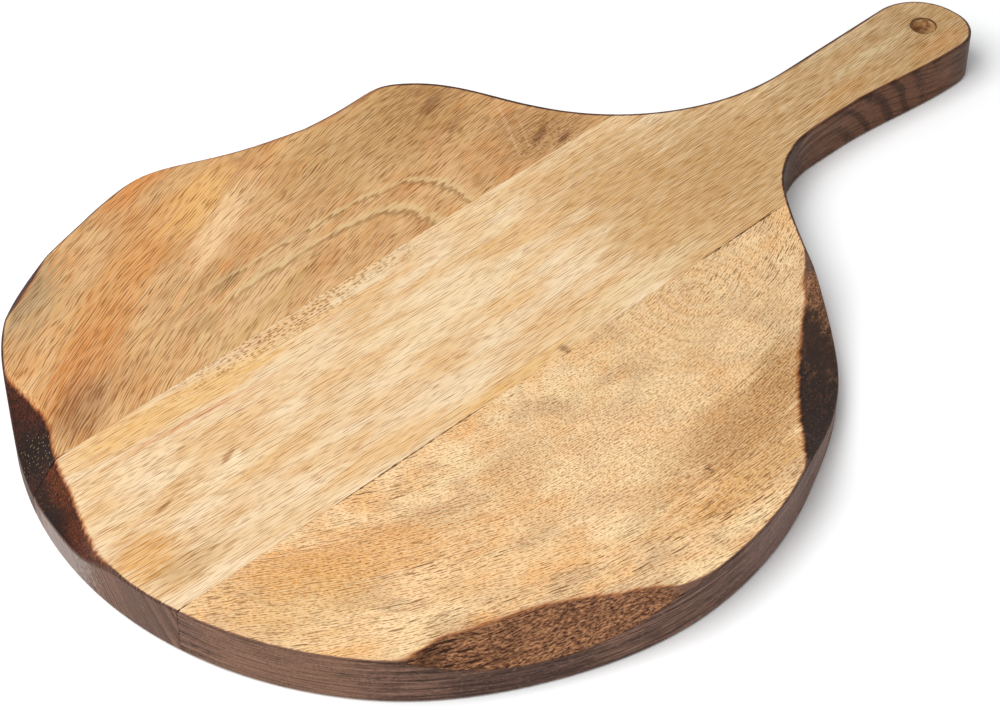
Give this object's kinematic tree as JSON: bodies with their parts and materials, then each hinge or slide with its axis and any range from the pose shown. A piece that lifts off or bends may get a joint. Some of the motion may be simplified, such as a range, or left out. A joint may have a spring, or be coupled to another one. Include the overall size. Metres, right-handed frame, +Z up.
{
  "type": "pizza serving board",
  "caption": "Round wooden pizza serving board with a long handle, a dark-stained rim with carved scoops in its top edge, and a hanging hole at the tip of the handle.",
  "frame": {"origin": "centre of the round body on the underside", "axes": "+Z up out of the serving face, +Y along the handle towards its tip, +X to the right when looking along the handle from above"},
  "size_m": [0.305, 0.4595, 0.0205],
  "materials": {
    "left_stave_wood": "oiled top, dark stained rim",
    "centre_stave_wood": "oiled top, dark stained rim",
    "right_stave_wood": "oiled top, dark stained rim",
    "wood_glue": "cured wood glue"
  },
  "bodies": {
    "root": {"left_stave": "left_stave_wood", "centre_stave": "centre_stave_wood", "right_stave": "right_stave_wood", "left_glue_line": "wood_glue", "right_glue_line": "wood_glue"}
  },
  "joints": []
}
